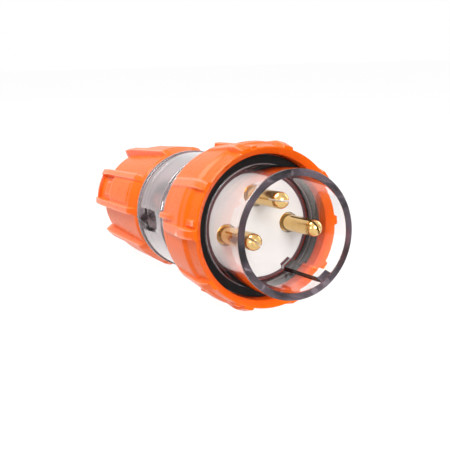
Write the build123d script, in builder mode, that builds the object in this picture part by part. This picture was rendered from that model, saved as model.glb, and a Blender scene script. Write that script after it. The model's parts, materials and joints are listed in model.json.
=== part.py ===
from build123d import *
import math
import os

# Straight three-pin industrial plug, lying on its side. Millimetres.
# The plug's axis is Y: the contacts point to -Y, the cable leaves to +Y, and Z is up.
# The origin is on the axis, in the plane of the front seal that the socket's rim presses on.

# Clear body
shroud_radius = 24.0
shroud_wall = 2.7  # at the rim
shroud_draft = 0.8  # the bore narrows by this much from rim to base
shroud_reach = 25.5  # rim ahead of the seal
rim_chamfer = 0.5
ledge_width = 0.9  # step that the contact carrier seats on
flange_height = 3.7
flange_thickness = 5.0
barrel_wall = 3.6
barrel_length = 57.0  # flange to cap
bead_height = 1.2  # stops the locking ring's retainer
bead_width = 2.0
drum_step = 0.7  # the barrel is thicker behind the ring's path
drum_length = 22.0
shoulder_step = 0.5
shoulder_thickness = 2.2
neck_wall = 1.6
neck_length = 16.0
key_angle = -60.0  # from the active contact
key_width = 5.2
key_height = 1.9

# Front seal
seal_thickness = 3.0
seal_land = 0.3  # step of the shroud that the seal sits on
seal_gap = 0.1
seal_inset = 0.2  # inside the flange's edge

# Contacts
contact_margin = 8.25  # contact's centre to the carrier's edge
contact_step = 90.0  # degrees from one contact to the next
contact_turn = 5.0  # roll of the keyed body against the ring, as the plug lies
contact_drop = 1.2  # the contacts' circle lies off the axis, away from the earth contact
pin_radius = 3.2
pin_tip_setback = 6.1  # behind the shroud's rim
pin_root_step = 0.4  # thicker inside the carrier
pin_groove_width = 0.5
pin_groove_depth = 0.3
dimple_radius = 0.8
dimple_depth = 0.6
slit_width = 0.7
slit_root = 4.0  # solid length left ahead of the carrier
collar_radius = 5.0
collar_thickness = 3.0
terminal_radius = 4.4
terminal_length = 20.0
wire_hole_radius = 2.4
wire_hole_depth = 14.0
terminal_screw_pitch = 6.6
terminal_screw_setback = 3.8  # from the terminal's rear end

# Contact insert
face_setback = 1.9  # white face behind the seal
carrier_thickness = 8.0
carrier_gap = 0.15
pin_hole_gap = 0.1
pin_recess_radius = 4.1
pin_recess_depth = 1.6
plate_thickness = 4.0
plate_screw_margin = 4.05  # screw's centre to the carrier's edge
web_thickness = 2.0
web_reach = 12.5
web_length = 14.0
snap_ring_thickness = 1.6
snap_ring_inner_bite = 1.3
snap_ring_outer_bite = 1.3
snap_ring_split = 12.0  # half angle of the gap

# Cord clamp
cord_radius = 6.5
clamp_margin = 5.9  # clamp's side to the barrel's bore
clamp_length = 12.0
clamp_setback = 4.0  # behind the terminals
clamp_half_gap = 1.2
cradle_depth = 10.5
clamp_bar_height = 8.5
clamp_screw_margin = 4.0  # screw's centre to the clamp's side
arm_width = 5.0
arm_inset = 2.0  # from the cradle's side
arm_gap = 0.8  # below the terminals

# Screws
screw_radius = 1.45
screw_head_radius = 2.4
screw_head_height = 1.9
screw_slot_width = 0.7
screw_gap = 0.1
plate_screw_length = 9.0
clamp_screw_length = 16.5
terminal_screw_length = 4.6
lock_screw_angle = 183.0
lock_screw_radius = 1.0
lock_head_radius = 1.9
lock_head_height = 2.2
lock_screw_reach = 3.6  # into the cap
scoop_half_width = 4.6
scoop_floor_gap = 0.3  # below the screw's head
scoop_length = 19.0

# Locking ring
ring_gap = 0.5  # to the flange
ring_wall = 3.8
ring_lead = 6.5  # mouth ahead of the seal
ring_length = 32.5
ring_travel = 8.8
ring_edge = 0.4
ring_taper = 1.7  # towards the rear end
mouth_step = 1.0  # the mouth is thinner than the rest
mouth_depth = 2.5  # of the sloping face that leads into the bore
strip_rise = 0.1  # of the sloping strip behind the mouth
strip_length = 8.2
strip_step_length = 2.5  # slope from the strip up to the full radius
lobe_count = 5
lobe_angle = 90.0  # the first lobe is on top
lobe_half_angle = 20.5
lobe_height = 1.4
lobe_front_rise = 0.8  # rib over the mouth's edge
lobe_front_slope = 6.0  # length of a rib's sloping front
lobe_land = 2.5  # full height behind it
lobe_taper = 2.0  # from there towards the rear end
lobe_tail = 1.2  # ahead of the rear end
lobe_tail_slope = 3.0
lobe_rib_angle = 7.0
lobe_strip_rise = 0.6  # strip between two ribs
lobe_strip_length = 6.3
lobe_strip_slope = 2.2  # length of the slope from the strip up to the panel
lobe_panel_depth = 0.7
lobe_panel_edge = 0.25  # step near the panel's front
lobe_panel_edge_setback = 4.0
index_angle = 9.3  # small block on the strip, from the lobe's middle
index_half_angle = 2.2
index_height = 0.4
index_setback = 1.4  # behind the mouth
retainer_thickness = 3.0
retainer_bite = 1.3  # into the ring's groove
retainer_split = 13.0  # half angle of the gap
slide_gap = 0.35  # retainer on barrel
retainer_gap = 0.2  # retainer in groove and against its stops

# Gland cap
thread_gap = 0.15
cap_wall = 2.85
cap_nose = 1.0  # slope at the front edge
cap_nose_length = 3.5
cap_taper = 2.9
cap_edge = 0.6
cap_shell_length = 50.5
cap_tail_step = 2.4
cap_tail_taper = 2.6
rib_height = 1.7
rib_lead = 0.4
rib_slope = 8.5  # length of a rib's sloping front
rib_taper = 1.1
rib_tail = 7.0  # past the shell's end
rib_tail_slope = 10.0
rib_tail_drop = 1.1
rib_bite = 0.8  # into the shell at its front edge
rib_tail_bite = 1.2  # and at its rear end
rib_half_angle = 20.4
rib_angle = 7.0
web_drop = 0.8  # between the ribs
pad_rise = 0.3  # panel between the ribs
pad_half_angle = 10.7
pad_lead = 11.5
pad_length = 25.0
slot_rise = 0.4  # floor of the window behind the panel, over the shell's rear end
slot_rim = 1.6
slot_block_height = 1.5
slot_block_half_angle = 8.0
slot_block_gap = 1.0
slot_block_length = 8.0
seat_thickness = 6.0
seat_lip = 1.5
bush_length = 27.0
bush_bore = 8.0
bush_radius = 17.4
bush_nose = 12.5
bush_gap = 0.15
washer_thickness = 2.0
washer_gap = 0.4
chamber_gap = 0.5
cap_back = 10.0
entry_step = 2.5  # cable opening over the bush's bore
cap_seal_thickness = 0.8
cap_seal_gap = 0.1  # to the neck
cap_seal_inset = 0.3  # inside the shoulder's edge

# Radii that follow
rim_bore = shroud_radius - shroud_wall
base_bore = rim_bore - shroud_draft
barrel_bore = base_bore + ledge_width
barrel_radius = barrel_bore + barrel_wall
bead_radius = barrel_radius + bead_height
drum_radius = barrel_radius + drum_step
shoulder_radius = drum_radius + shoulder_step
flange_radius = shroud_radius + flange_height
neck_radius = barrel_bore + neck_wall
carrier_radius = barrel_bore - carrier_gap
contact_radius = carrier_radius - contact_margin
pin_root = pin_radius + pin_root_step
plate_screw_circle = carrier_radius - plate_screw_margin
clamp_half_width = barrel_bore - clamp_margin
clamp_screw_offset = clamp_half_width - clamp_screw_margin
ring_bore = flange_radius + ring_gap
ring_radius = ring_bore + ring_wall
lobe_radius = ring_radius + lobe_height
retainer_inner = barrel_radius + slide_gap
retainer_outer = ring_bore + retainer_bite
retainer_groove = retainer_outer + retainer_gap
ring_rear_radius = ring_radius - ring_taper
lobe_root = (retainer_groove + ring_rear_radius) / 2
lobe_panel = lobe_radius - lobe_panel_depth
mouth_radius = ring_radius - mouth_step
strip_radius = mouth_radius + strip_rise
lobe_strip_radius = mouth_radius + lobe_strip_rise
index_radius = lobe_strip_radius + index_height
cap_bore = neck_radius + thread_gap
cap_radius = cap_bore + cap_wall
cap_tail_radius = cap_radius - cap_taper
rib_radius = cap_radius + rib_height
rib_root = cap_radius - cap_nose - rib_bite
rib_tail_root = cap_tail_radius - rib_tail_bite
web_radius = rib_radius - web_drop
slot_floor = cap_tail_radius + slot_rise
chamber_radius = bush_radius + chamber_gap
entry_radius = bush_bore + entry_step
lock_circle = (cap_bore + cap_radius) / 2
scoop_floor = lock_circle - lock_head_radius - scoop_floor_gap

# Stations along the axis
rim_y = -shroud_reach
flange_front = seal_thickness
flange_rear = flange_front + flange_thickness
cap_front = flange_rear + barrel_length
shoulder_rear = cap_front - cap_seal_thickness
shoulder_front = shoulder_rear - shoulder_thickness
drum_front = shoulder_front - drum_length
neck_rear = cap_front + neck_length
seat_rear = neck_rear + seat_thickness
bush_rear = seat_rear + bush_length
washer_rear = bush_rear + washer_thickness
cap_rear = washer_rear + cap_back
cap_shell_rear = cap_front + cap_shell_length
rib_front = cap_front + rib_lead
rib_slope_rear = rib_front + rib_slope
rib_rear = cap_shell_rear + rib_tail
rib_tail_front = rib_rear - rib_tail_slope
pad_front = cap_front + pad_lead
pad_rear = pad_front + pad_length
slot_rear = rib_rear - slot_rim
slot_block_front = pad_rear + slot_block_gap
carrier_front = face_setback
carrier_rear = carrier_front + carrier_thickness
pin_root_front = carrier_front + pin_recess_depth
plate_rear = carrier_rear + plate_thickness
snap_ring_rear = plate_rear + snap_ring_thickness
terminal_rear = carrier_rear + terminal_length
clamp_front = terminal_rear + clamp_setback
clamp_rear = clamp_front + clamp_length
pin_tip = rim_y + pin_tip_setback
slit_end = carrier_front - slit_root
ring_front = -ring_lead
ring_rear = ring_front + ring_length
mouth_rear = ring_front + mouth_depth
strip_rear = ring_front + strip_length
strip_step_rear = strip_rear + strip_step_length
lobe_rear = ring_rear - lobe_tail
lobe_tail_front = lobe_rear - lobe_tail_slope
lobe_land_front = ring_front + lobe_front_slope
lobe_land_rear = lobe_land_front + lobe_land
lobe_strip_rear = ring_front + lobe_strip_length
lobe_panel_front = lobe_strip_rear + lobe_strip_slope
lobe_panel_edge_y = lobe_panel_front + lobe_panel_edge_setback
scoop_front = shoulder_front - scoop_length
retainer_front = flange_rear + ring_travel + retainer_gap
retainer_rear = retainer_front + retainer_thickness
bead_front = retainer_rear + retainer_gap
bead_rear = bead_front + bead_width

contact_angles = {
    "active": contact_turn,
    "earth": contact_turn + contact_step,
    "neutral": contact_turn + 2 * contact_step,
}
slit_angles = {"active": 113.0, "earth": 172.4, "neutral": 141.5}
gap_angles = [contact_turn + step * contact_step for step in (0.5, 1.5, 3)]


def section_at(y):
    """The plane across the axis at y, facing the front, with +X to the right and +Z up."""
    return Plane.XZ.offset(-y)


def across(radius, angle, y):
    """The point at a radius and angle about the axis."""
    turn = math.radians(angle)
    return Vector(radius * math.cos(turn), y, radius * math.sin(turn))


def spots(radius, angles):
    """The same points as seen in a section, for a list of angles."""
    return [(across(radius, angle, 0).X, across(radius, angle, 0).Z) for angle in angles]


def contact_centre(angle, y):
    """The point on a contact's own axis."""
    return across(contact_radius, angle, y) + across(contact_drop, contact_turn - contact_step, 0)


def contact_spots():
    """The three contacts as seen in a section."""
    centres = [contact_centre(angle, 0) for angle in contact_angles.values()]
    return [(centre.X, centre.Z) for centre in centres]


def sector(inner, outer, half_angle):
    """A slice of a ring, centred on its right-hand side."""
    reach = 2 * outer
    rise = reach * math.tan(math.radians(half_angle))
    with BuildSketch() as slice_face:
        Circle(outer)
        Circle(inner, mode=Mode.SUBTRACT)
        with BuildLine():
            Polyline((0, 0), (reach, -rise), (reach, rise), close=True)
        make_face(mode=Mode.INTERSECT)
    return slice_face.sketch


def half_plane(angle):
    """The plane through the axis at an angle: x is the radius, y the station along the axis."""
    return Plane((0, 0, 0), x_dir=across(1, angle, 0), z_dir=across(1, angle + 90, 0))


def arc_block(outline, middle, half_angle):
    """An outline of radius and station, turned through part of a circle."""
    with BuildPart() as block:
        with BuildSketch(half_plane(middle - half_angle)):
            with BuildLine():
                Polyline(*outline, close=True)
            make_face()
        revolve(axis=Axis((0, 0, 0), (0, -1, 0)), revolution_arc=2 * half_angle)
    return block.part


def at_each_lobe(block):
    """Copies of a block on the first lobe, one at every lobe."""
    return [block.rotate(Axis.Y, 360 * turn / lobe_count) for turn in range(lobe_count)]


def web_at(y):
    """The radius of the cap between two ribs, behind their sloping fronts."""
    return web_radius - rib_taper * (y - rib_slope_rear) / (rib_tail_front - rib_slope_rear)


def turned_ring(inner, outer, front, rear):
    """A plain ring about the plug's axis."""
    with BuildPart() as ring:
        with BuildSketch(section_at(rear)):
            Circle(outer)
            Circle(inner, mode=Mode.SUBTRACT)
        extrude(amount=rear - front)
    return ring.part


def slotted_screw(head_radius, head_height, shank_radius, shank_length):
    """A screw along Z with the underside of its head at the origin."""
    with BuildPart() as screw:
        with BuildSketch():
            Circle(head_radius)
        extrude(amount=head_height)
        with BuildSketch():
            Circle(shank_radius)
        extrude(amount=-shank_length)
        with Locations((0, 0, head_height)):
            Box(3 * head_radius, screw_slot_width, head_height, mode=Mode.SUBTRACT)
    return screw.part


def contact_pin(angle, slit_angle):
    """A split pin with a domed tip, a collar and a terminal barrel, all turned in one piece."""
    centre = contact_centre(angle, 0)
    pin_axis = Axis(centre, (0, 1, 0))
    dome_y = pin_tip + pin_radius
    groove_y = dome_y + pin_groove_width
    with BuildPart() as pin:
        with BuildSketch(Plane(centre, x_dir=(1, 0, 0), z_dir=(0, 0, 1))):
            with BuildLine():
                dome_start = pin_radius - math.sqrt(pin_radius**2 - dimple_radius**2)
                dimple_edge = (dimple_radius, pin_tip + dome_start)
                Line((0, terminal_rear), (0, pin_tip + dimple_depth))
                Line((0, pin_tip + dimple_depth), dimple_edge)
                RadiusArc(dimple_edge, (pin_radius, dome_y), -pin_radius)
                Polyline(
                    (pin_radius, dome_y),
                    (pin_radius - pin_groove_depth, dome_y),
                    (pin_radius - pin_groove_depth, groove_y),
                    (pin_radius, groove_y),
                    (pin_radius, pin_root_front),
                    (pin_root, pin_root_front),
                    (pin_root, carrier_rear - collar_thickness),
                    (collar_radius, carrier_rear - collar_thickness),
                    (collar_radius, carrier_rear),
                    (terminal_radius, carrier_rear),
                    (terminal_radius, terminal_rear),
                    (0, terminal_rear),
                )
            make_face()
        revolve(axis=pin_axis)
        with BuildSketch(section_at(terminal_rear)):
            with Locations((centre.X, centre.Z)):
                Circle(wire_hole_radius)
        extrude(amount=wire_hole_depth, mode=Mode.SUBTRACT)
        with BuildSketch(section_at(slit_end)):
            with Locations(Location((centre.X, centre.Z), slit_angle)):
                Rectangle(3 * pin_radius, slit_width)
        extrude(amount=slit_end - pin_tip + pin_radius, mode=Mode.SUBTRACT)
        for screw_y in terminal_screw_stations():
            with BuildSketch(terminal_plane(0, angle, screw_y)):
                Circle(screw_radius + screw_gap)
            extrude(amount=2 * terminal_radius, mode=Mode.SUBTRACT)
    return pin


def terminal_screw_stations():
    """Where the two screws of a terminal stand along the axis."""
    last = terminal_rear - terminal_screw_setback
    return [last - terminal_screw_pitch, last]


def clamp_screw_spots():
    """The two clamp screws, seen from above."""
    middle = (clamp_front + clamp_rear) / 2
    return [(-clamp_screw_offset, middle), (clamp_screw_offset, middle)]


def terminal_plane(height, angle, y):
    """The plane at a height over a contact's axis, facing outwards."""
    seat = contact_centre(angle, y) + across(height, angle, 0)
    return Plane(seat, x_dir=(0, 1, 0), z_dir=across(1, angle, 0))


def terminal_screws(angle):
    """The two screws that clamp a wire in its terminal."""
    screw = slotted_screw(screw_head_radius, screw_head_height, screw_radius, terminal_screw_length)
    with BuildPart() as screws:
        for screw_y in terminal_screw_stations():
            with Locations(Location(terminal_plane(terminal_radius, angle, screw_y))):
                add(screw)
    return screws


# Clear body: shroud, flange, barrel and threaded neck in one moulding
with BuildPart() as plug_body:
    with BuildSketch(Plane.XY):
        with BuildLine():
            Polyline(
                (rim_bore, rim_y),
                (shroud_radius, rim_y),
                (shroud_radius, 0),
                (shroud_radius + seal_land, 0),
                (shroud_radius + seal_land, flange_front),
                (flange_radius, flange_front),
                (flange_radius, flange_rear),
                (barrel_radius, flange_rear),
                (barrel_radius, bead_front),
                (bead_radius, bead_front),
                (bead_radius, bead_rear),
                (barrel_radius, bead_rear),
                (barrel_radius, drum_front - drum_step),
                (drum_radius, drum_front),
                (drum_radius, shoulder_front),
                (shoulder_radius, shoulder_front),
                (shoulder_radius, shoulder_rear),
                (neck_radius, shoulder_rear),
                (neck_radius, neck_rear),
                (barrel_bore, neck_rear),
                (barrel_bore, snap_ring_rear),
                (barrel_bore + snap_ring_outer_bite, snap_ring_rear),
                (barrel_bore + snap_ring_outer_bite, plate_rear),
                (barrel_bore, plate_rear),
                (barrel_bore, carrier_front),
                (base_bore, carrier_front),
                close=True,
            )
        make_face()
    revolve(axis=Axis.Y)
    rim_edges = plug_body.edges().filter_by(GeomType.CIRCLE).group_by(Axis.Y)[0]
    chamfer(rim_edges, length=rim_chamfer)
    key_half_angle = math.degrees(math.asin(key_width / 2 / rim_bore))
    with BuildSketch(section_at(carrier_front)):
        with PolarLocations(0, 1, start_angle=contact_turn + key_angle):
            add(sector(rim_bore - key_height, shroud_radius - shroud_wall / 2, key_half_angle))
    extrude(amount=carrier_front - rim_y - rim_chamfer)
    with BuildSketch(half_plane(lock_screw_angle)):
        with BuildLine():
            Polyline(
                (scoop_floor, shoulder_front),
                (scoop_floor, shoulder_front - lock_head_height),
                (drum_radius, scoop_front),
                (shoulder_radius, scoop_front),
                (shoulder_radius, shoulder_front),
                close=True,
            )
        make_face()
    extrude(amount=scoop_half_width, both=True, mode=Mode.SUBTRACT)
    with BuildSketch(section_at(shoulder_rear)):
        with PolarLocations(lock_circle, 1, start_angle=lock_screw_angle):
            Circle(lock_screw_radius + screw_gap)
    extrude(amount=shoulder_thickness, mode=Mode.SUBTRACT)

# Front seal
with BuildPart() as front_seal:
    add(turned_ring(shroud_radius + seal_land + seal_gap, flange_radius - seal_inset, 0, flange_front))

# Locking ring with grip lobes: two sloping ribs with a lower panel between them
with BuildPart() as locking_ring:
    with BuildSketch(Plane.XY):
        with BuildLine():
            Polyline(
                (ring_bore, mouth_rear),
                (mouth_radius - ring_edge, ring_front),
                (mouth_radius, ring_front + ring_edge),
                (strip_radius, strip_rear),
                (ring_radius, strip_step_rear),
                (ring_rear_radius, ring_rear),
                (ring_bore, ring_rear),
                (ring_bore, retainer_rear + retainer_gap),
                (retainer_groove, retainer_rear + retainer_gap),
                (retainer_groove, retainer_front - retainer_gap),
                (ring_bore, retainer_front - retainer_gap),
                close=True,
            )
        make_face()
    revolve(axis=Axis.Y)
    rib_outline = [
        (lobe_root, mouth_rear),
        (mouth_radius - ring_edge, ring_front),
        (mouth_radius + lobe_front_rise, ring_front),
        (lobe_radius, lobe_land_front),
        (lobe_radius, lobe_land_rear),
        (lobe_radius - lobe_taper, lobe_tail_front),
        (ring_rear_radius, lobe_rear),
        (lobe_root, lobe_rear),
    ]
    panel_outline = [
        (lobe_root, mouth_rear),
        (mouth_radius, ring_front + ring_edge),
        (lobe_strip_radius, lobe_strip_rear),
        (lobe_panel - lobe_panel_edge, lobe_panel_front),
        (lobe_panel - lobe_panel_edge, lobe_panel_edge_y),
        (lobe_panel, lobe_panel_edge_y),
        (lobe_panel - lobe_taper, lobe_tail_front),
        (ring_rear_radius, lobe_rear),
        (lobe_root, lobe_rear),
    ]
    index_outline = [
        (lobe_root, ring_front + index_setback),
        (index_radius, ring_front + index_setback),
        (index_radius, lobe_panel_front),
        (lobe_root, lobe_panel_front),
    ]
    rib_middle = lobe_half_angle - lobe_rib_angle / 2
    for side in (-1, 1):
        add(at_each_lobe(arc_block(rib_outline, lobe_angle + side * rib_middle, lobe_rib_angle / 2)))
    add(at_each_lobe(arc_block(panel_outline, lobe_angle, rib_middle)))
    add(at_each_lobe(arc_block(index_outline, lobe_angle + index_angle, index_half_angle)))

# Split ring that holds the locking ring behind the flange
with BuildPart() as ring_retainer:
    add(turned_ring(retainer_inner, retainer_outer, retainer_front, retainer_rear))
    with BuildSketch(section_at(retainer_rear)):
        with PolarLocations(0, 1, start_angle=lock_screw_angle):
            add(sector(retainer_inner / 2, 2 * retainer_outer, retainer_split))
    extrude(amount=retainer_thickness, mode=Mode.SUBTRACT)

# Contact carrier: the white face, with a recess round each pin
with BuildPart() as contact_carrier:
    with BuildSketch(section_at(carrier_rear)):
        Circle(carrier_radius)
        with Locations(*contact_spots()):
            Circle(pin_root + pin_hole_gap, mode=Mode.SUBTRACT)
    extrude(amount=carrier_thickness)
    with BuildSketch(section_at(carrier_rear)):
        with Locations(*contact_spots()):
            Circle(collar_radius + pin_hole_gap)
    extrude(amount=collar_thickness, mode=Mode.SUBTRACT)
    with BuildSketch(section_at(pin_root_front)):
        with Locations(*contact_spots()):
            Circle(pin_recess_radius)
    extrude(amount=pin_recess_depth, mode=Mode.SUBTRACT)
    with BuildSketch(section_at(carrier_rear)):
        with Locations(*spots(plate_screw_circle, gap_angles)):
            Circle(screw_radius + screw_gap)
    extrude(amount=plate_screw_length - plate_thickness + screw_gap, mode=Mode.SUBTRACT)

# Contact pins
active_pin = contact_pin(contact_angles["active"], slit_angles["active"])
earth_pin = contact_pin(contact_angles["earth"], slit_angles["earth"])
neutral_pin = contact_pin(contact_angles["neutral"], slit_angles["neutral"])
active_terminal_screws = terminal_screws(contact_angles["active"])
earth_terminal_screws = terminal_screws(contact_angles["earth"])
neutral_terminal_screws = terminal_screws(contact_angles["neutral"])

# Plate behind the carrier, with webs between the terminals and the cradle of the cord clamp
arm_top = contact_centre(contact_angles["neutral"], 0).Z - terminal_radius - arm_gap
arm_outer = clamp_half_width - arm_inset
with BuildPart() as pin_plate:
    with BuildSketch(section_at(plate_rear)):
        Circle(carrier_radius)
        with Locations(*contact_spots()):
            Circle(terminal_radius + pin_hole_gap, mode=Mode.SUBTRACT)
        with Locations(*spots(plate_screw_circle, gap_angles)):
            Circle(screw_radius + screw_gap, mode=Mode.SUBTRACT)
    extrude(amount=plate_thickness)
    with BuildSketch(section_at(plate_rear)):
        for angle in gap_angles:
            with Locations(Location((0, 0), angle)):
                Rectangle(web_reach, web_thickness, align=(Align.MIN, Align.CENTER))
    extrude(amount=-web_length)
    with BuildSketch(section_at(plate_rear)):
        for side in (-1, 1):
            with Locations((side * (arm_outer - arm_width / 2), arm_top)):
                Rectangle(arm_width, cradle_depth + arm_top, align=(Align.CENTER, Align.MAX))
    extrude(amount=plate_rear - clamp_front)
    with BuildSketch(section_at(clamp_rear)):
        with Locations((0, -clamp_half_gap)):
            Rectangle(2 * clamp_half_width, cradle_depth - clamp_half_gap, align=(Align.CENTER, Align.MAX))
        Circle(cord_radius, mode=Mode.SUBTRACT)
    extrude(amount=clamp_length)
    with BuildSketch(Plane.XY.offset(-clamp_half_gap)):
        with Locations(*clamp_screw_spots()):
            Circle(screw_radius + screw_gap)
    extrude(amount=clamp_half_gap - cradle_depth, mode=Mode.SUBTRACT)

# Bar that presses the cord into its cradle
with BuildPart() as cord_clamp_bar:
    with BuildSketch(section_at(clamp_rear)):
        with Locations((0, clamp_half_gap)):
            bar_rise = clamp_bar_height - clamp_half_gap
            Rectangle(2 * clamp_half_width, bar_rise, align=(Align.CENTER, Align.MIN))
        Circle(cord_radius, mode=Mode.SUBTRACT)
    extrude(amount=clamp_length)
    with BuildSketch(Plane.XY.offset(clamp_half_gap)):
        with Locations(*clamp_screw_spots()):
            Circle(screw_radius + screw_gap)
    extrude(amount=clamp_bar_height - clamp_half_gap, mode=Mode.SUBTRACT)

with BuildPart() as clamp_screws:
    clamp_screw = slotted_screw(screw_head_radius, screw_head_height, screw_radius, clamp_screw_length)
    with Locations(*[(x, y, clamp_bar_height) for x, y in clamp_screw_spots()]):
        add(clamp_screw)

with BuildPart() as plate_screws:
    plate_screw = slotted_screw(screw_head_radius, screw_head_height, screw_radius, plate_screw_length)
    for x, z in spots(plate_screw_circle, gap_angles):
        with Locations(Location(Plane((x, plate_rear, z), x_dir=(1, 0, 0), z_dir=(0, 1, 0)))):
            add(plate_screw)

# Split ring that holds the insert against its ledge
with BuildPart() as insert_snap_ring:
    snap_ring_outer = barrel_bore + snap_ring_outer_bite - carrier_gap
    add(turned_ring(barrel_bore - snap_ring_inner_bite, snap_ring_outer, plate_rear, snap_ring_rear))
    with BuildSketch(section_at(snap_ring_rear)):
        with PolarLocations(0, 1, start_angle=-90):
            add(sector(barrel_bore / 2, 2 * barrel_bore, snap_ring_split))
    extrude(amount=snap_ring_thickness, mode=Mode.SUBTRACT)

# Gland cap: tapered shell with lobes of paired ribs, a pad and a window between each pair, and a plain tail
with BuildPart() as gland_cap:
    with BuildSketch(Plane.XY):
        with BuildLine():
            Polyline(
                (cap_bore, cap_front),
                (cap_radius - cap_nose, cap_front),
                (cap_radius, cap_front + cap_nose_length),
                (cap_tail_radius, cap_shell_rear),
                (cap_tail_radius - cap_tail_step, cap_shell_rear),
                (cap_tail_radius - cap_tail_step - cap_tail_taper, cap_rear - cap_edge),
                (cap_tail_radius - cap_tail_step - cap_tail_taper - cap_edge, cap_rear),
                (entry_radius, cap_rear),
                (entry_radius, washer_rear),
                (chamber_radius, washer_rear),
                (chamber_radius, seat_rear + bush_gap),
                (cap_bore, seat_rear + bush_gap),
                close=True,
            )
        make_face()
    revolve(axis=Axis.Y)
    cap_rib_outline = [
        (rib_root, rib_front),
        (cap_radius - cap_nose, rib_front),
        (rib_radius, rib_slope_rear),
        (rib_radius - rib_taper, rib_tail_front),
        (rib_radius - rib_taper - rib_tail_drop, rib_rear),
        (rib_tail_root, rib_rear),
    ]
    web_outline = [
        (rib_root, rib_front),
        (cap_radius - cap_nose, rib_front),
        (web_radius, rib_slope_rear),
        (web_radius - rib_taper, rib_tail_front),
        (web_radius - rib_taper - rib_tail_drop, rib_rear),
        (rib_tail_root, rib_rear),
    ]
    pad_outline = [
        (rib_root, pad_front),
        (web_at(pad_front), pad_front),
        (web_at(pad_front) + pad_rise, pad_front + pad_rise),
        (web_at(pad_rear) + pad_rise, pad_rear),
        (rib_root, pad_rear),
    ]
    slot_outline = [
        (slot_floor, pad_rear),
        (2 * web_radius, pad_rear),
        (2 * web_radius, slot_rear),
        (slot_floor, slot_rear),
    ]
    slot_block_outline = [
        (cap_tail_radius, slot_block_front),
        (slot_floor + slot_block_height, slot_block_front),
        (slot_floor + slot_block_height, slot_block_front + slot_block_length),
        (cap_tail_radius, slot_block_front + slot_block_length),
    ]
    cap_rib_middle = rib_half_angle - rib_angle / 2
    add(at_each_lobe(arc_block(web_outline, lobe_angle, cap_rib_middle)))
    add(at_each_lobe(arc_block(pad_outline, lobe_angle, pad_half_angle)))
    add(at_each_lobe(arc_block(slot_outline, lobe_angle, rib_half_angle - rib_angle)), mode=Mode.SUBTRACT)
    add(at_each_lobe(arc_block(slot_block_outline, lobe_angle, slot_block_half_angle)))
    for side in (-1, 1):
        add(at_each_lobe(arc_block(cap_rib_outline, lobe_angle + side * cap_rib_middle, rib_angle / 2)))
    with BuildSketch(section_at(cap_front)):
        with PolarLocations(lock_circle, 1, start_angle=lock_screw_angle):
            Circle(lock_screw_radius + screw_gap)
    extrude(amount=-lock_screw_reach - screw_gap, mode=Mode.SUBTRACT)

# Flat seal between the cap and the shoulder
with BuildPart() as cap_seal:
    add(turned_ring(neck_radius + cap_seal_gap, shoulder_radius - cap_seal_inset, shoulder_rear, cap_front))
    with BuildSketch(section_at(cap_front)):
        with PolarLocations(lock_circle, 1, start_angle=lock_screw_angle):
            Circle(lock_screw_radius + screw_gap)
    extrude(amount=cap_seal_thickness, mode=Mode.SUBTRACT)

# Screw that locks the cap to the body, reached along the scoop
with BuildPart() as cap_lock_screw:
    lock_seat = across(lock_circle, lock_screw_angle, shoulder_front)
    with Locations(Location(Plane(lock_seat, x_dir=(1, 0, 0), z_dir=(0, -1, 0)))):
        lock_length = cap_front - shoulder_front + lock_screw_reach
        add(slotted_screw(lock_head_radius, lock_head_height, lock_screw_radius, lock_length))

# Cable gland: conical seat, rubber bush and slip washer
with BuildPart() as gland_seat:
    with BuildSketch(Plane.XY):
        with BuildLine():
            Polyline(
                (entry_radius, neck_rear),
                (neck_radius, neck_rear),
                (neck_radius, seat_rear),
                (bush_radius, seat_rear),
                (bush_nose, neck_rear + seat_lip),
                (entry_radius, neck_rear + seat_lip),
                close=True,
            )
        make_face()
    revolve(axis=Axis.Y)

with BuildPart() as cable_bush:
    with BuildSketch(Plane.XY):
        with BuildLine():
            Polyline(
                (bush_bore, neck_rear + seat_lip + bush_gap),
                (bush_nose, neck_rear + seat_lip + bush_gap),
                (bush_radius, seat_rear + bush_gap),
                (bush_radius, bush_rear),
                (bush_bore, bush_rear),
                close=True,
            )
        make_face()
    revolve(axis=Axis.Y)

with BuildPart() as slip_washer:
    add(turned_ring(entry_radius, chamber_radius - washer_gap, bush_rear, washer_rear))

pieces = {
    "plug_body": plug_body,
    "locking_ring": locking_ring,
    "ring_retainer": ring_retainer,
    "front_seal": front_seal,
    "contact_carrier": contact_carrier,
    "active_pin": active_pin,
    "neutral_pin": neutral_pin,
    "earth_pin": earth_pin,
    "active_terminal_screws": active_terminal_screws,
    "neutral_terminal_screws": neutral_terminal_screws,
    "earth_terminal_screws": earth_terminal_screws,
    "pin_plate": pin_plate,
    "plate_screws": plate_screws,
    "insert_snap_ring": insert_snap_ring,
    "cord_clamp_bar": cord_clamp_bar,
    "clamp_screws": clamp_screws,
    "gland_cap": gland_cap,
    "cap_seal": cap_seal,
    "cap_lock_screw": cap_lock_screw,
    "gland_seat": gland_seat,
    "cable_bush": cable_bush,
    "slip_washer": slip_washer,
}
os.makedirs("parts", exist_ok=True)
for name, piece in pieces.items():
    piece.part.label = name
    export_step(piece.part, f"parts/{name}.step")
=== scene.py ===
import json
import math

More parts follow.
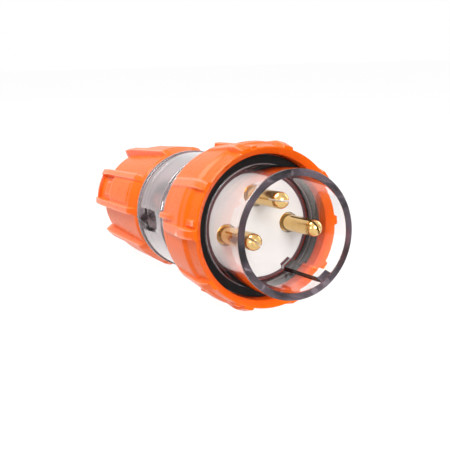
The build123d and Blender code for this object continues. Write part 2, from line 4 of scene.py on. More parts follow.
import bmesh
import bpy
from mathutils import Euler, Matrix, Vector


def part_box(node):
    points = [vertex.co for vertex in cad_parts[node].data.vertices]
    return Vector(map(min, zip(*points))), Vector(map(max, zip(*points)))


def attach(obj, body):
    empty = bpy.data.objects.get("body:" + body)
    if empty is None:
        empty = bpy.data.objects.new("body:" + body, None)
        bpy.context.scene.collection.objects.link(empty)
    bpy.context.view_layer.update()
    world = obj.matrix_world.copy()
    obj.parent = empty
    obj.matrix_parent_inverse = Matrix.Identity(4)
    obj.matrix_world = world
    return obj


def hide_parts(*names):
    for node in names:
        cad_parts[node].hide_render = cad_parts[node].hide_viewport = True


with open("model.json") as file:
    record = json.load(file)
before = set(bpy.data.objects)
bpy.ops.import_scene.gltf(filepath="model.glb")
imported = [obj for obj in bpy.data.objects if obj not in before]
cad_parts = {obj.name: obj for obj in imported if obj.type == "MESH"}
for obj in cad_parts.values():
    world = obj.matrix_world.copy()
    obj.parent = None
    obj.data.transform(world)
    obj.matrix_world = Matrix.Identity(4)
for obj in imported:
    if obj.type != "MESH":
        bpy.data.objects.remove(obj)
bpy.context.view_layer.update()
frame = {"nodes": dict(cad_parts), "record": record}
mm = 0.001  # shapes are written in millimetres, the scene is in metres
full_turn = 360  # degrees
quarter_turn = full_turn / 4


def stations(node):
    """Where a node starts and ends along the plug's axis, in millimetres."""
    low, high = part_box(node)
    return low.y / mm, high.y / mm


# Camera, in metres and degrees
camera_place = (-0.1579, -0.2818, 0.0531)
camera_azimuth = -26.75
camera_elevation = 9.16
camera_roll = -2.3
camera_view_angle = 29.65
camera_near = 0.01

# Floor and light, in metres and watts
ring_rest = (0.002, -0.0322)  # y and z of the points that the plug lies on
cap_rest = (0.1125, -0.0256)
floor_size = 6.0
floor_white = (0.97, 0.97, 0.97, 1)  # as the camera sees it
floor_bounce = 0.75  # the share of it that lights matt surfaces
floor_dim = 0.1  # the same past the edges of the lit part
floor_shade = (0.1, 0.1, 0.1, 1)  # the part that shadows darken
lit_edges = {  # for two ways across the floor, where its light on the plug starts and where it is full
    (0.978, -0.208, 0.0): (-0.165, -0.11),
    (0.0, 1.0, 0.0): (-0.21, -0.14),
}
lamps = {
    "key_lamp": {"place": (-0.1, -0.7, 0.25), "size": 0.35, "power": 4.6},
    "back_lamp": {"place": (-0.35, 0.35, 0.7), "size": 0.5, "power": 9.0},
    "side_lamp": {"place": (-0.7, -0.25, 0.15), "size": 0.15, "power": 1.0},
    "fill_lamp": {"place": (0.7, 0.15, 0.3), "size": 0.5, "power": 1.5},
}
lamp_target = (0, 0.03, 0)
studio_white = (1, 1, 1, 1)
dim_side = (-0.45, -0.89, 0.0)  # the camera's side, from which the studio lights matt surfaces less
dim_start = -0.93  # cosine of the angle from that side at which the dimming starts
dim_end = -0.4  # and of the angle at which it is complete
bright_level = 1.0
dim_level = 0.03

# Fineness of the meshes, in millimetres and degrees
line_spacing = 1.6
angle_spacing = 3.0
body_angle_spacing = 2.0
body_start_angle = -270
edge_shares = (-0.5, -0.25, 0, 0.25, 0.5)  # where lines lie across an edge's width
lines_in_width = 6  # lines closer together than an edge's width over this are left out
rounding = 0.35
rounding_shifts = (-1, -0.5, 0, 0.5, 1)  # in roundings, where an outline is averaged
edge_width = 2 * rounding
corner_steps = 4
corner_limit = 0.45  # the most of a side that a rounded corner takes up
sharp_angle = 42.0  # edges that turn more than this stay crisp

# Grip lobes, shared by the locking ring and the cap
lobe_count = 5
lobe_angle = 90.0
lobe_pitch = full_turn / lobe_count
flank_angle = 1.3  # rounded rise at the side of a rib
flank_length = 0.5  # the same along the axis
crest_fade = 3.0  # length over which the painted sheen on the crest of a rib comes in

# Locking ring: radii from the axis and stations along it
ring_front, ring_rear = stations("locking_ring")
ring_bore = 28.2
ring_radius = 32.0
ring_edge = 0.4
mouth_radius = 31.0
mouth_edge_radius = mouth_radius - ring_edge
mouth_lip = ring_front + ring_edge
mouth_rear = ring_front + 2.5
strip_rear = ring_front + 8.2
strip_radius = 31.1
strip_step_rear = strip_rear + 2.5
ring_rear_radius = 30.3
ring_tail_radius = ring_rear_radius - ring_edge
groove_front = 16.8  # holds the retainer
groove_rear = 20.2
groove_radius = 29.7
lobe_radius = 33.4
lobe_half_angle = 20.5
lobe_inner_angle = 13.5
lobe_front_radius = 31.8
lobe_land_front = ring_front + 6.0
lobe_land_rear = lobe_land_front + 2.5
lobe_taper = 2.0
lobe_rear = ring_rear - 1.2
lobe_tail_front = lobe_rear - 3.0
lobe_strip_radius = 31.6
lobe_strip_rear = ring_front + 6.3
lobe_panel = 32.7
lobe_panel_front = lobe_strip_rear + 2.2
lobe_panel_edge = 0.25
lobe_panel_edge_y = lobe_panel_front + 4.0
index_start = 7.1
index_end = 11.5
index_front = ring_front + 1.4
index_radius = 32.0
deep_length = 6.0  # length over which the painted shade inside the ring comes in

# Gland cap
cap_front, cap_rear = stations("gland_cap")
cap_bore = 23.15
cap_radius = 26.0
cap_nose = 25.0
cap_nose_rear = cap_front + 3.5
cap_shell_rear = cap_front + 50.5
cap_shell_radius = 23.1
cap_edge = 0.4
cap_tail_radius = 20.7
cap_tail_end_radius = 17.5
cap_tail_corner = 0.92  # share of the tail's taper that lies ahead of its rounded end
cap_tail_rounding = 2 * cap_edge
cap_chamber_front = 87.15
cap_chamber_rear = 116.0
cap_chamber_radius = 17.9
cap_entry_radius = 10.5
rib_root = 21.9  # under the overhang
rib_front = cap_front + 0.4
rib_slope_rear = rib_front + 8.5
rib_rear = cap_shell_rear + 7.0
rib_tail_front = rib_rear - 10.0
rib_radius = 27.7
rib_taper = 1.1
rib_tail_drop = 1.1
rib_half_angle = 20.4
rib_inner_angle = 13.4
web_drop = 0.8
pad_angle = 10.7
pad_front = cap_front + 11.5
pad_rear = pad_front + 25.0
pad_rise = 0.3
slot_rear = rib_rear - 1.6
slot_floor = 23.5
slot_block_angle = 8.0
slot_block_front = pad_rear + 1.0
slot_block_rear = slot_block_front + 8.0
slot_block_rise = 1.5
overhang_front = 106.0  # behind this the lobes reach further back than the shell

# Clear body
body_front, body_rear = stations("plug_body")
body_edge = 0.3
rim_bore = 21.3
rim_facing = -0.4  # faces at the rim whose normal has a y below this get the painted dark reflection
shroud_radius = 24.0
seal_face = 0.0
seal_land_radius = 24.3
flange_front = 3.0
flange_rear = 8.0
flange_radius = 27.7
barrel_radius = 25.0
bead_radius = 26.2
bead_front = 20.2
bead_rear = 22.2
drum_front = 40.0
drum_radius = 25.7
drum_step = 0.7
drum_step_front = drum_front - drum_step
shoulder_front = 62.0
shoulder_rear = 64.2
shoulder_radius = 26.2
neck_radius = 23.0
barrel_bore = 21.4
snap_groove_front = 13.9
snap_groove_rear = 15.5
snap_groove_radius = 22.7
ledge_y = 1.9
base_bore = 21.2  # wider than the solid's, so that the white face shows to its edge
key_middle = -55.0
key_half_angle = 7.0
key_radius = 19.4
key_front = body_front + 0.6
scoop_middle = 183.0
scoop_half_angle = 10.3
scoop_reach = 2 * scoop_half_angle  # its floor is worked out this far to each side
scoop_front = 43.0
scoop_floor = 22.4
scoop_flat_front = 59.8

# Dark ring round the white face: a painted shadow in the gap between the face and the shroud
shadow_ring_gap = 0.05
shadow_ring_width = 1.1
shadow_ring_thickness = 0.3
shadow_ring_edge = 0.15

# Colours, in linear light: the darker and the paler tone of each material
orange = ((0.92, 0.125, 0.002, 1), (0.97, 0.145, 0.004, 1))
white = ((0.62, 0.61, 0.595, 1), (0.67, 0.66, 0.645, 1))
grey = ((0.3, 0.26, 0.26, 1), (0.36, 0.31, 0.31, 1))
black = ((0.003, 0.003, 0.003, 1), (0.007, 0.0065, 0.0065, 1))
# painted shadow for the gap round the white face
shadow_brown = ((0.07, 0.022, 0.025, 1), (0.1, 0.035, 0.04, 1))
pale_mauve = ((0.42, 0.36, 0.37, 1), (0.5, 0.44, 0.45, 1))
dark_steel = ((0.1, 0.08, 0.09, 1), (0.17, 0.14, 0.15, 1))
brass = ((0.64, 0.41, 0.14, 1), (0.82, 0.57, 0.25, 1))
steel = ((0.5, 0.5, 0.52, 1), (0.62, 0.62, 0.63, 1))
clear = ((0.965, 0.935, 0.945, 1), (0.995, 0.975, 0.98, 1))
haze = ((0.6, 0.44, 0.465, 1), (0.88, 0.7, 0.73, 1))
# painted dark reflection on the shroud's rim, with streaks
rim_reflection = ((0.012, 0.008, 0.014, 1), (0.3, 0.22, 0.28, 1))
clear_shade = (0.95, 0.93, 0.94, 1)  # of the light that passes one clear face

# Painted light on the orange plastic: sheen on rib crests, highlights on edges, shade deep inside the ring
painted_light_kinds = ("crest", "edge_highlight", "deep")  # names under which the meshes keep the painted sheen, highlight and shade
crest_sheen_tone = (1, 0.19, 0.06, 1)  # painted sheen on the tops of the ribs
edge_highlight_tone = (1, 0.62, 0.48, 1)  # painted highlight on the outer edges
edge_range = (0.52, 0.6)  # from flat to sharp, as Blender measures it
edge_share = 0.8
deep_shade_tone = (0.68, 0.022, 0.002, 1)  # painted shade inside the ring, where little light gets

# Grain of the materials, in patches to a metre
plastic_grain = 150.0
clip_grain = 200.0
rubber_grain = 300.0
metal_grain = 400.0
clear_grain = 120.0
rim_reflection_grain = 90.0
rim_reflection_spread = 0.14  # a narrow range of the noise runs through both tones, which gives streaks in the rim's painted dark reflection
noise_middle = 0.5
cloud_detail = 3.0
fine_detail = 2.0
fine_to_cloud = 6
relief_depth = 0.0002  # metres
clear_bump = 0.02
clear_bend = 1.5  # index of refraction
rim_reflection_clearness = 0.7  # share of the light that the rim, with its painted dark reflection, lets in


def add_node(tree, kind, inputs=None, **settings):
    """A new shader node with its settings and its inputs' values."""
    made = tree.nodes.new(kind)
    for name, value in settings.items():
        setattr(made, name, value)
    for name, value in (inputs or {}).items():
        made.inputs[name].default_value = value
    return made


def main_shader(material):
    """The shader that a new material comes with."""
    return material.node_tree.nodes["Principled BSDF"]


def grained_material(name, tones, roughness, grain, bump, spread=noise_middle, **inputs):
    """A material whose colour, roughness and surface vary with a fine grain.

    Further inputs of its shader are given by name, with an underscore for each space.
    """
    material = bpy.data.materials.new(name)
    material.use_nodes = True
    tree = material.node_tree
    shader = main_shader(material)
    for key, value in inputs.items():
        shader.inputs[key.replace("_", " ")].default_value = value
    place = add_node(tree, "ShaderNodeTexCoord")
    cloud = add_node(tree, "ShaderNodeTexNoise", {"Scale": grain, "Detail": cloud_detail})
    span = {"From Min": noise_middle - spread, "From Max": noise_middle + spread}
    share = add_node(tree, "ShaderNodeMapRange", span)
    tone = add_node(tree, "ShaderNodeMix", data_type="RGBA")
    tone.inputs["A"].default_value = tones[0]
    tone.inputs["B"].default_value = tones[1]
    rough = add_node(tree, "ShaderNodeMapRange", {"To Min": roughness[0], "To Max": roughness[1]})
    fine = add_node(tree, "ShaderNodeTexNoise", {"Scale": grain * fine_to_cloud, "Detail": fine_detail})
    relief = add_node(tree, "ShaderNodeBump", {"Strength": bump, "Distance": relief_depth})
    for texture in (cloud, fine):
        tree.links.new(place.outputs["Object"], texture.inputs["Vector"])
    tree.links.new(cloud.outputs["Fac"], share.inputs["Value"])
    tree.links.new(share.outputs["Result"], tone.inputs["Factor"])
    tree.links.new(cloud.outputs["Fac"], rough.inputs["Value"])
    tree.links.new(fine.outputs["Fac"], relief.inputs["Height"])
    tree.links.new(tone.outputs["Result"], shader.inputs["Base Color"])
    tree.links.new(rough.outputs["Result"], shader.inputs["Roughness"])
    tree.links.new(relief.outputs["Normal"], shader.inputs["Normal"])
    return material


def tinted(tree, colour, tone, share):
    """A colour that gives way to a tone by a share that varies over the surface."""
    mixed = add_node(tree, "ShaderNodeMix", data_type="RGBA")
    mixed.inputs["B"].default_value = tone
    tree.links.new(colour, mixed.inputs["A"])
    tree.links.new(share, mixed.inputs["Factor"])
    return mixed.outputs["Result"]


def painted_light_material(name, tones, **surface):
    """A moulded plastic with painted sheen on the rib crests, painted highlights on outer edges, and
    painted shade deep inside.
    """
    material = grained_material(name, tones, **surface)
    tree = material.node_tree
    base = main_shader(material).inputs["Base Color"]
    colour = base.links[0].from_socket
    marks = [add_node(tree, "ShaderNodeAttribute", attribute_name=kind) for kind in painted_light_kinds]
    crest, edge_highlight, deep = [mark.outputs["Fac"] for mark in marks]
    shape = add_node(tree, "ShaderNodeNewGeometry")
    sharpness = {"From Min": edge_range[0], "From Max": edge_range[1], "To Max": edge_share}
    edge = add_node(tree, "ShaderNodeMapRange", sharpness)
    outer_edge = add_node(tree, "ShaderNodeMath", operation="MULTIPLY")
    tree.links.new(shape.outputs["Pointiness"], edge.inputs["Value"])
    tree.links.new(edge.outputs["Result"], outer_edge.inputs[0])
    tree.links.new(edge_highlight, outer_edge.inputs[1])
    colour = tinted(tree, colour, crest_sheen_tone, crest)
    colour = tinted(tree, colour, edge_highlight_tone, outer_edge.outputs["Value"])
    colour = tinted(tree, colour, deep_shade_tone, deep)
    tree.links.new(colour, base)
    return material


def clear_material(name, tones, clearness=1, grain=clear_grain, **surface):
    """Clear plastic with a faint tint, that lets the lamps through."""
    glass = {"bump": clear_bump, "IOR": clear_bend, "Transmission_Weight": clearness}
    material = grained_material(name, tones, grain=grain, **glass, **surface)
    tree = material.node_tree
    out = tree.nodes["Material Output"]
    path = add_node(tree, "ShaderNodeLightPath")
    see_through = add_node(tree, "ShaderNodeBsdfTransparent", {"Color": clear_shade})
    either = add_node(tree, "ShaderNodeMixShader")
    tree.links.new(path.outputs["Is Shadow Ray"], either.inputs["Fac"])
    tree.links.new(main_shader(material).outputs["BSDF"], either.inputs[1])
    tree.links.new(see_through.outputs["BSDF"], either.inputs[2])
    tree.links.new(either.outputs["Shader"], out.inputs["Surface"])
    return material


def soft_step(value, edge, width):
    """0 before an edge and 1 after it, with a rounded rise of this width."""
    part = min(max((value - edge) / width + 0.5, 0), 1)
    return part * part * (3 - 2 * part)


def between(value, low, high, width):
    """1 between two edges and 0 outside them, with rounded rises."""
    return soft_step(value, low, width) * (1 - soft_step(value, high, width))


def within(offset, half_angle):
    """1 up to an angle to each side of a middle and 0 past it."""
    return between(offset, -half_angle, half_angle, flank_angle)


def toward(start, end, share):
    """The value part of the way from start to end."""
    return start + (end - start) * share


def along(corners, y):
    """The radius at a station, on straight lines between corners of station and radius."""
    if y <= corners[0][0]:
        return corners[0][1]
    for (low, low_radius), (high, high_radius) in zip(corners, corners[1:]):
        if y <= high:
            return toward(low_radius, high_radius, (y - low) / (high - low))
    return corners[-1][1]


def softened(corners, y):
    """The same outline with its corners rounded."""
    radii = [along(corners, y + rounding * shift) for shift in rounding_shifts]
    return sum(radii) / len(radii)


def grid_lines(start, end, spacing, edges, width):
    """Values from start to end, closer together at the edges."""
    count = math.ceil((end - start) / spacing)
    lines = [toward(start, end, step / count) for step in range(count + 1)]
    for edge in edges:
        lines += [edge + width * share for share in edge_shares]
    kept = [start]
    for line in sorted(lines):
        if line - kept[-1] > width / lines_in_width and line <= end:
            kept.append(line)
    return kept


def lobe_lines(edges):
    """Angles all round, closer together at the edges of every lobe."""
    half = lobe_pitch / 2
    offsets = grid_lines(-half, half, angle_spacing, edges, flank_angle)[:-1]
    return [lobe_angle + lobe * lobe_pitch + offset for lobe in range(lobe_count) for offset in offsets]


def from_middle(angle, middle, pitch=full_turn):
    """The angle measured from a middle that comes again at each pitch."""
    return (angle - middle + pitch / 2) % pitch - pitch / 2


def from_lobe(angle):
    """The angle measured from the middle of the nearest lobe."""
    return from_middle(angle, lobe_angle, lobe_pitch)


def rounded_corner(middle, radius):
    """Points of radius and station on a quarter turn about a middle, from its outside to its rear."""
    points = []
    for step in range(corner_steps + 1):
        angle = math.radians(quarter_turn * (step / corner_steps))
        points.append((middle[0] + radius * math.cos(angle), middle[1] + radius * math.sin(angle)))
    return points


def rounded_loop(corners, radius):
    """A closed outline with its corners rounded and its long sides divided."""
    loop = []
    for index, corner in enumerate(corners):
        here = Vector(corner)
        before = Vector(corners[index - 1]) - here
        after = Vector(corners[(index + 1) % len(corners)]) - here
        cut = min(radius, corner_limit * before.length, corner_limit * after.length)
        start = here + before.normalized() * cut
        end = here + after.normalized() * cut
        for step in range(corner_steps + 1):
            share = step / corner_steps
            loop.append(start.lerp(here, share).lerp(here.lerp(end, share), share))
        rest = after.length - 2 * cut
        steps = math.ceil(rest / line_spacing)
        following = end + after.normalized() * rest
        loop += [end.lerp(following, step / steps) for step in range(1, steps)]
    return loop


def swept_shell(name, angles, section, material, painted_light=None):
    """A closed mesh through sections at angles about the axis, each a loop of radius and station."""
    points = []
    painted_values = []
    for angle in angles:
        turn = math.radians(angle)
        for radius, y in section(angle):
            points.append((radius * math.cos(turn) * mm, y * mm, radius * math.sin(turn) * mm))
            if painted_light:
                painted_values.append(painted_light(from_lobe(angle), radius, y))
    width = len(points) // len(angles)
    faces = []
    for row in range(len(angles)):
        this = row * width
        after = (row + 1) % len(angles) * width
        for column in range(width):
            beside = (column + 1) % width
            faces.append((this + column, this + beside, after + beside, after + column))
    data = bpy.data.meshes.new(name)
    data.from_pydata(points, [], faces)
    shell = bmesh.new()
    shell.from_mesh(data)
    bmesh.ops.recalc_face_normals(shell, faces=shell.faces)
    shell.to_mesh(data)
    shell.free()
    for kind, values in zip(painted_light_kinds, zip(*painted_values)):
        data.attributes.new(kind, "FLOAT", "POINT").data.foreach_set("value", values)
    data.shade_smooth()
    data.set_sharp_from_angle(angle=math.radians(sharp_angle))
    data.materials.append(material)
    piece = bpy.data.objects.new(name, data)
    bpy.context.scene.collection.objects.link(piece)
    return piece


# Shape of the locking ring
ring_outline = [
    (ring_front, mouth_edge_radius),
    (mouth_lip, mouth_radius),
    (strip_rear, strip_radius),
    (strip_step_rear, ring_radius),
    (ring_rear, ring_rear_radius),
]
ring_lobe_end = [
    (lobe_rear, along(ring_outline, lobe_rear)),
    (ring_rear, ring_rear_radius),
]
ring_rib_outline = [
    (ring_front, lobe_front_radius),
    (lobe_land_front, lobe_radius),
    (lobe_land_rear, lobe_radius),
    (lobe_tail_front, lobe_radius - lobe_taper),
] + ring_lobe_end
ring_panel_outline = [
    (ring_front, mouth_edge_radius),
    (mouth_lip, mouth_radius),
    (lobe_strip_rear, lobe_strip_radius),
    (lobe_panel_front, lobe_panel - lobe_panel_edge),
    (lobe_panel_edge_y, lobe_panel - lobe_panel_edge),
    (lobe_panel_edge_y + lobe_panel_edge, lobe_panel),
    (lobe_tail_front, lobe_panel - lobe_taper),
] + ring_lobe_end
ring_steps = [mouth_lip, index_front, lobe_land_front, lobe_strip_rear, strip_rear, lobe_panel_front]
ring_steps += [strip_step_rear, lobe_panel_edge_y, lobe_land_rear, lobe_tail_front, lobe_rear]
ring_lines = grid_lines(ring_front, ring_rear - ring_edge, line_spacing, ring_steps, edge_width)


def ring_radius_at(offset, y):
    """The radius of the ring's outside at an angle from a lobe's middle."""
    radius = softened(ring_outline, y)
    radius = toward(radius, softened(ring_rib_outline, y), within(offset, lobe_half_angle))
    radius = toward(radius, softened(ring_panel_outline, y), within(offset, lobe_inner_angle))
    on_index = between(offset, index_start, index_end, flank_angle)
    on_index *= soft_step(y, index_front, flank_length)
    return toward(radius, max(radius, index_radius), on_index)


def ring_section(angle):
    """The locking ring cut at an angle."""
    offset = from_lobe(angle)
    outside = [(ring_radius_at(offset, y), y) for y in ring_lines]
    tail = rounded_corner((ring_tail_radius, ring_rear - ring_edge), ring_edge)
    inside = [
        (ring_bore + ring_edge, ring_rear),
        (ring_bore, ring_rear - ring_edge),
        (ring_bore, groove_rear),
        (groove_radius, groove_rear),
        (groove_radius, groove_front),
        (ring_bore, groove_front),
        (ring_bore, mouth_rear),
        (mouth_edge_radius, ring_front),
    ]
    return outside + tail + inside


def ring_painted_light(offset, radius, y):
    """How much painted sheen a point of the ring gets as a rib crest, how much painted highlight as an
    edge, and how much painted shade from how deep inside it lies.
    """
    if radius < ring_tail_radius:
        return 0, 0, min((y - ring_front) / deep_length, 1)
    on_rib = within(offset, lobe_half_angle) - within(offset, lobe_inner_angle)
    return on_rib * soft_step(y, lobe_land_front, crest_fade), soft_step(y, index_front, ring_edge), 0


# Shape of the gland cap
cap_outline = [
    (cap_front, cap_nose),
    (cap_nose_rear, cap_radius),
    (cap_shell_rear, cap_shell_radius),
]
cap_rib_outline = [
    (rib_front, cap_nose),
    (rib_slope_rear, rib_radius),
    (rib_tail_front, rib_radius - rib_taper),
    (rib_rear, rib_radius - rib_taper - rib_tail_drop),
]
cap_web_outline = cap_rib_outline[:1] + [(y, radius - web_drop) for y, radius in cap_rib_outline[1:]]
cap_steps = [cap_nose_rear, rib_front, rib_slope_rear, pad_front, pad_rear, slot_block_front]
cap_steps += [slot_block_rear, slot_rear, rib_tail_front]
cap_lines = grid_lines(cap_front + cap_edge, rib_rear - cap_edge, line_spacing, cap_steps, edge_width)


def cap_radius_at(offset, line, y):
    """The radius of the cap's outside at an angle from a lobe's middle; y is the place on the shell."""
    web = softened(cap_web_outline, line)
    on_pad = between(line, pad_front, pad_rear, flank_length) * within(offset, pad_angle)
    block = between(line, slot_block_front, slot_block_rear, flank_length)
    block *= within(offset, slot_block_angle)
    in_slot = between(line, pad_rear, slot_rear, flank_length)
    web = toward(web + pad_rise * on_pad, slot_floor + slot_block_rise * block, in_slot)
    lobe = toward(softened(cap_rib_outline, line), web, within(offset, rib_inner_angle))
    return toward(softened(cap_outline, y), lobe, within(offset, rib_half_angle))


def cap_section(angle):
    """The gland cap cut at an angle."""
    offset = from_lobe(angle)
    end = toward(cap_shell_rear, rib_rear, within(offset, rib_half_angle))
    reach = (end - overhang_front) / (rib_rear - overhang_front)
    outside = []
    for line in cap_lines:
        y = line
        if line > overhang_front:
            y = overhang_front + (line - overhang_front) * reach
        outside.append((cap_radius_at(offset, line, y), y))
    behind = [
        (outside[-1][0] - cap_edge, end),
        (rib_root, end),
        (rib_root - cap_edge, cap_shell_rear),
        (cap_tail_radius, cap_shell_rear),
        (toward(cap_tail_radius, cap_tail_end_radius, cap_tail_corner), cap_rear - cap_tail_rounding),
        (cap_tail_end_radius, cap_rear),
    ]
    inside = [
        (cap_entry_radius + cap_edge, cap_rear),
        (cap_entry_radius, cap_rear - cap_edge),
        (cap_entry_radius, cap_chamber_rear),
        (cap_chamber_radius, cap_chamber_rear),
        (cap_chamber_radius, cap_chamber_front),
        (cap_bore, cap_chamber_front),
        (cap_bore, cap_front),
        (cap_nose - cap_edge, cap_front),
    ]
    return outside + behind + inside


def cap_painted_light(offset, radius, y):
    """The same painted sheen and edge highlight as the ring's, for the cap, which has no painted shade deep
    inside.
    """
    if radius < cap_shell_radius:
        return 0, 0, 0
    on_rib = within(offset, rib_half_angle) - within(offset, rib_inner_angle)
    return on_rib * soft_step(y, rib_slope_rear, crest_fade), soft_step(y, rib_front, cap_edge), 0


# Shape of the clear body and of the dark ring in it, which paints the shadow round the white face
body_corners = [
    (rim_bore, body_front),
    (shroud_radius, body_front),
    (shroud_radius, seal_face),
    (seal_land_radius, seal_face),
    (seal_land_radius, flange_front),
    (flange_radius, flange_front),
    (flange_radius, flange_rear),
    (barrel_radius, flange_rear),
    (barrel_radius, bead_front),
    (bead_radius, bead_front),
    (bead_radius, bead_rear),
    (barrel_radius, bead_rear),
    (barrel_radius, drum_step_front),
    (drum_radius, drum_front),
    (drum_radius, shoulder_front),
    (shoulder_radius, shoulder_front),
    (shoulder_radius, shoulder_rear),
    (neck_radius, shoulder_rear),
    (neck_radius, body_rear),
    (barrel_bore, body_rear),
    (barrel_bore, snap_groove_rear),
    (snap_groove_radius, snap_groove_rear),
    (snap_groove_radius, snap_groove_front),
    (barrel_bore, snap_groove_front),
    (barrel_bore, ledge_y),
    (base_bore, ledge_y),
]
body_loop = rounded_loop(body_corners, body_edge)
scoop_outline = [(scoop_front, drum_radius), (scoop_flat_front, scoop_floor)]


def share_of_key(angle):
    """1 at the key inside the shroud and 0 beside it."""
    return within(from_middle(angle, key_middle), key_half_angle)


def body_section(angle):
    """The clear body cut at an angle, with the key inside its shroud and the scoop for the lock screw."""
    on_key = share_of_key(angle)
    from_scoop = from_middle(angle, scoop_middle)
    in_scoop = within(from_scoop, scoop_half_angle)
    section = []
    for radius, y in body_loop:
        if y < ledge_y and radius <= rim_bore:
            radius = toward(radius, key_radius, on_key * soft_step(y, key_front, body_edge))
        if scoop_front < y <= shoulder_front and radius > barrel_radius:
            turn = math.radians(min(abs(from_scoop), scoop_reach))
            floor = along(scoop_outline, y) / math.cos(turn)
            radius = toward(radius, min(radius, floor), in_scoop)
        section.append((radius, y))
    return section


def shadow_gap_section(angle):
    """The dark ring round the white face, a painted shadow of the gap there, which follows the key."""
    outer = toward(base_bore, key_radius, share_of_key(angle)) - shadow_ring_gap
    corners = [
        (outer - shadow_ring_width, ledge_y - shadow_ring_gap),
        (outer - shadow_ring_width, ledge_y - shadow_ring_thickness),
        (outer, ledge_y - shadow_ring_thickness),
        (outer, ledge_y - shadow_ring_gap),
    ]
    return rounded_loop(corners, shadow_ring_edge)


def make_camera():
    """The camera at the photograph's angle."""
    data = bpy.data.cameras.new("camera")
    data.angle = math.radians(camera_view_angle)
    data.clip_start = camera_near
    camera = bpy.data.objects.new("camera", data)
    bpy.context.scene.collection.objects.link(camera)
    camera.location = camera_place
    tilt = math.radians(quarter_turn - camera_elevation)
    turn = math.radians(camera_azimuth)
    facing = Euler((tilt, 0, turn), "XYZ").to_matrix()
    roll = Euler((0, 0, math.radians(camera_roll)), "XYZ").to_matrix()
    camera.rotation_euler = (facing @ roll).to_euler("XYZ")
    bpy.context.scene.camera = camera


def white_where_seen(tree, level):
    """A level of brightness, made full where it is seen directly, through glass or in a shine."""
    path = add_node(tree, "ShaderNodeLightPath")
    for ray in ("Is Camera Ray", "Is Transmission Ray", "Is Glossy Ray"):
        most = add_node(tree, "ShaderNodeMath", operation="MAXIMUM")
        tree.links.new(level, most.inputs[0])
        tree.links.new(path.outputs[ray], most.inputs[1])
        level = most.outputs["Value"]
    return level


def make_floor():
    """A pale floor that touches the locking ring and the cap."""
    run = cap_rest[0] - ring_rest[0]
    rise = cap_rest[1] - ring_rest[1]
    bpy.ops.mesh.primitive_plane_add(size=floor_size, location=(0, *ring_rest))
    floor = bpy.context.object
    floor.name = "floor"
    floor.rotation_euler = (math.atan2(rise, run), 0, 0)
    material = bpy.data.materials.new("pale_floor")
    material.use_nodes = True
    tree = material.node_tree
    tree.nodes.clear()
    shade = add_node(tree, "ShaderNodeBsdfDiffuse", {"Color": floor_shade})
    glow = add_node(tree, "ShaderNodeEmission", {"Color": floor_white})
    both = add_node(tree, "ShaderNodeAddShader")
    out = add_node(tree, "ShaderNodeOutputMaterial")
    place = add_node(tree, "ShaderNodeTexCoord")
    lit = add_node(tree, "ShaderNodeMath", operation="MULTIPLY")
    level = add_node(tree, "ShaderNodeMapRange", {"To Min": floor_dim, "To Max": floor_bounce})
    for index, (way, (start, full)) in enumerate(lit_edges.items()):
        reach = add_node(tree, "ShaderNodeVectorMath", operation="DOT_PRODUCT")
        reach.inputs[1].default_value = way
        fade = add_node(tree, "ShaderNodeMapRange", {"From Min": start, "From Max": full})
        tree.links.new(place.outputs["Object"], reach.inputs[0])
        tree.links.new(reach.outputs["Value"], fade.inputs["Value"])
        tree.links.new(fade.outputs["Result"], lit.inputs[index])
    tree.links.new(lit.outputs["Value"], level.inputs["Value"])
    tree.links.new(white_where_seen(tree, level.outputs["Result"]), glow.inputs["Strength"])
    tree.links.new(shade.outputs["BSDF"], both.inputs[0])
    tree.links.new(glow.outputs["Emission"], both.inputs[1])
    tree.links.new(both.outputs["Shader"], out.inputs["Surface"])
    floor.data.materials.append(material)


def make_lamp(name, lamp):
    """A soft square lamp that faces the plug."""
    data = bpy.data.lights.new(name, "AREA")
    data.size = lamp["size"]
    data.energy = lamp["power"]
    light = bpy.data.objects.new(name, data)
    bpy.context.scene.collection.objects.link(light)
    light.location = lamp["place"]
    light.rotation_euler = (Vector(lamp_target) - light.location).to_track_quat("-Z", "Y").to_euler()


def make_world():
    """A white studio that lights matt surfaces less from the camera's side."""
    world = bpy.data.worlds.new("surroundings")
    bpy.context.scene.world = world
    world.use_nodes = True
    tree = world.node_tree
    background = tree.nodes["Background"]
    background.inputs["Color"].default_value = studio_white
    way = add_node(tree, "ShaderNodeTexCoord")
    side = add_node(tree, "ShaderNodeVectorMath", operation="DOT_PRODUCT")
    side.inputs[1].default_value = dim_side
    dimming = {"From Min": dim_start, "From Max": dim_end, "To Min": bright_level, "To Max": dim_level}
    level = add_node(tree, "ShaderNodeMapRange", dimming)
    tree.links.new(way.outputs["Generated"], side.inputs[0])
    tree.links.new(side.outputs["Value"], level.inputs["Value"])
    tree.links.new(white_where_seen(tree, level.outputs["Result"]), background.inputs["Strength"])


# Materials
satin = {"roughness": (0.24, 0.32), "grain": plastic_grain, "bump": 0.05, "Specular_IOR_Level": 0.12}
gloss = {"roughness": (0.18, 0.26), "grain": plastic_grain, "bump": 0.04, "Specular_IOR_Level": 0.3}
matt = {"roughness": (0.35, 0.45), "grain": plastic_grain, "bump": 0.06}
clip = {"roughness": (0.3, 0.42), "grain": clip_grain, "bump": 0.08}
rubber = {"roughness": (0.5, 0.65), "grain": rubber_grain, "bump": 0.15}
metal = {"grain": metal_grain, "bump": 0.06, "Metallic": 1}
streaks = {"grain": rim_reflection_grain, "spread": rim_reflection_spread, "Specular_IOR_Level": 0.2}
coat = {"Coat_Weight": 1.0, "Coat_Roughness": 0.02}
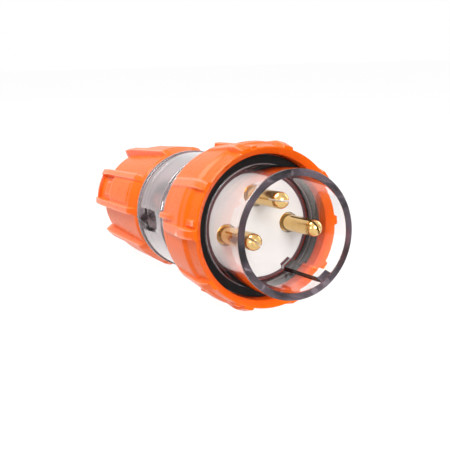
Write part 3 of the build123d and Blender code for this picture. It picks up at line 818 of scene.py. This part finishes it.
# orange with painted sheen on rib crests, painted highlights on edges and painted shade inside the ring
orange_plastic = painted_light_material("orange_plastic", orange, **satin)
white_plastic = grained_material("white_plastic", white, **gloss)
grey_plastic = grained_material("grey_plastic", grey, **matt)
black_plastic = grained_material("black_plastic", black, **clip)
black_rubber = grained_material("black_rubber", black, **rubber, Specular_IOR_Level=0.12)
# painted shadow for the dark ring round the white face
shadow_gap_brown = grained_material("shadow_gap_brown", shadow_brown, **rubber)
pale_rubber = grained_material("pale_rubber", pale_mauve, **rubber)
dark_metal = grained_material("dark_metal", dark_steel, roughness=(0.3, 0.4), **metal)
brass_metal = grained_material("brass_metal", brass, roughness=(0.16, 0.26), **metal)
steel_metal = grained_material("steel_metal", steel, roughness=(0.25, 0.35), **metal)
clear_plastic = clear_material("clear_plastic", clear, roughness=(0.01, 0.04))
clear_barrel = clear_material("clear_barrel", haze, roughness=(0.08, 0.15), **coat)
# the shroud's rim gets a painted dark reflection
rim_dark_reflection = clear_material("rim_dark_reflection", rim_reflection, rim_reflection_clearness, roughness=(0.05, 0.15), **streaks)
finishes = {
    "clear_shell": clear_plastic,
    "orange_moulding": orange_plastic,
    "black_clip": black_plastic,
    "black_rubber": black_rubber,
    "white_moulding": white_plastic,
    "grey_moulding": grey_plastic,
    "brass_contact": brass_metal,
    "steel_screw": steel_metal,
}
node_finishes = {"cap_seal": pale_rubber, "cap_lock_screw": dark_metal}
for subpart in frame["record"]["subparts"]:
    piece = frame["nodes"][subpart["node"]]
    piece.data.materials.clear()
    finish = finishes[subpart["material_slot"]]
    piece.data.materials.append(node_finishes.get(subpart["node"], finish))

# Locking ring
ring_edges = [side * angle for angle in (lobe_half_angle, lobe_inner_angle) for side in (-1, 1)]
ring_edges += [index_start, index_end]
moulded_ring = swept_shell("moulded_ring", lobe_lines(ring_edges), ring_section, orange_plastic, ring_painted_light)
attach(moulded_ring, "ring")
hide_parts("locking_ring")

# Gland cap
cap_angles = (rib_half_angle, rib_inner_angle, pad_angle, slot_block_angle)
cap_edges = [side * angle for angle in cap_angles for side in (-1, 1)]
moulded_cap = swept_shell("moulded_cap", lobe_lines(cap_edges), cap_section, orange_plastic, cap_painted_light)
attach(moulded_cap, "plug")
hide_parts("gland_cap")

# Clear body, with the painted dark reflection on its rim and its hazy drum
body_edges = [key_middle + side * key_half_angle for side in (-1, 1)]
body_edges += [scoop_middle - full_turn + side * scoop_half_angle for side in (-1, 1)]
body_end_angle = body_start_angle + full_turn
body_angles = grid_lines(body_start_angle, body_end_angle, body_angle_spacing, body_edges, flank_angle)[:-1]
moulded_body = swept_shell("moulded_body", body_angles, body_section, clear_plastic)
body_finishes = [clear_plastic, rim_dark_reflection, clear_barrel]
for finish in body_finishes[1:]:
    moulded_body.data.materials.append(finish)
# forward-facing rim faces get the painted dark reflection, the drum its hazy finish
for face in moulded_body.data.polygons:
    if face.center.y < (key_front + line_spacing) * mm and face.normal.y < rim_facing:
        face.material_index = body_finishes.index(rim_dark_reflection)
    if drum_step_front * mm < face.center.y < shoulder_front * mm:
        face.material_index = body_finishes.index(clear_barrel)
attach(moulded_body, "plug")
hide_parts("plug_body")

# Dark ring round the white face, a painted shadow of the gap there
shadow_gap_ring = swept_shell("shadow_gap_ring", body_angles, shadow_gap_section, shadow_gap_brown)
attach(shadow_gap_ring, "plug")

# Stage
make_camera()
make_floor()
for name, lamp in lamps.items():
    make_lamp(name, lamp)
make_world()
bpy.context.scene.view_settings.view_transform = "Standard"
